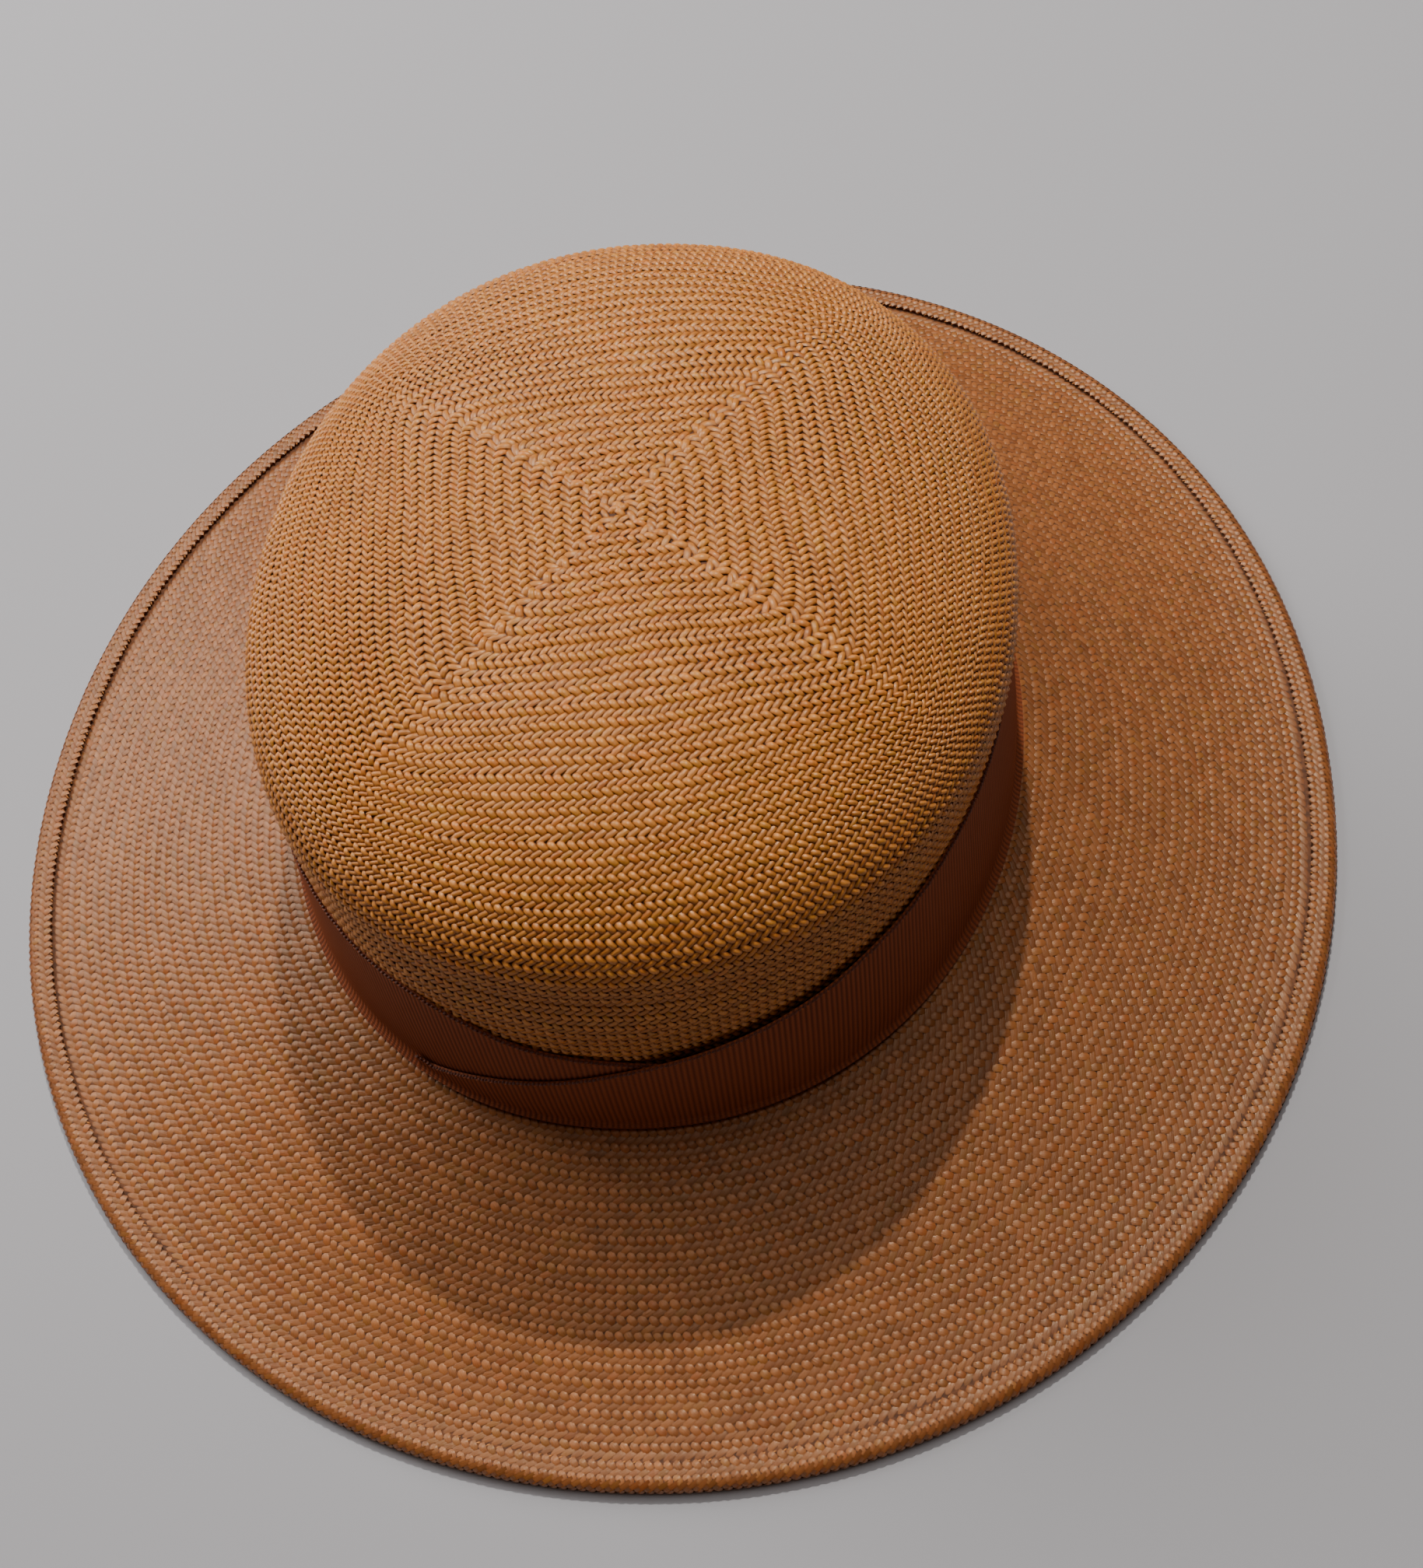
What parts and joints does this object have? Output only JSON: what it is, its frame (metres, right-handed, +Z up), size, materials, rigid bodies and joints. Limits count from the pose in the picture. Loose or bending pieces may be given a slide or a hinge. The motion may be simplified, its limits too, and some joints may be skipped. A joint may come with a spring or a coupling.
{
  "type": "wide-brim straw hat",
  "caption": "Wide-brim woven straw hat with a low rounded crown, a turned brim edge and a grosgrain ribbon crossed over at the front.",
  "frame": {"origin": "on the surface that the brim's edge rests on, under the middle of the hat's outline", "axes": "+Z up through the crown, +Y to the back of the hat along its longer side, front with the crossed ribbon at -Y, +X to the wearer's left, which is the right as seen from the front"},
  "size_m": [0.3228, 0.3512, 0.1018],
  "materials": {
    "straw": "natural woven palm straw in golden tan, herringbone weave, satin strands",
    "hem_straw": "the same straw turned over at the edge and stitched",
    "ribbon": "chestnut brown ribbed grosgrain, dull"
  },
  "bodies": {
    "root": {"crown": "straw", "brim": "straw", "brim_hem": "hem_straw", "ribbon_band": "ribbon"}
  },
  "joints": []
}
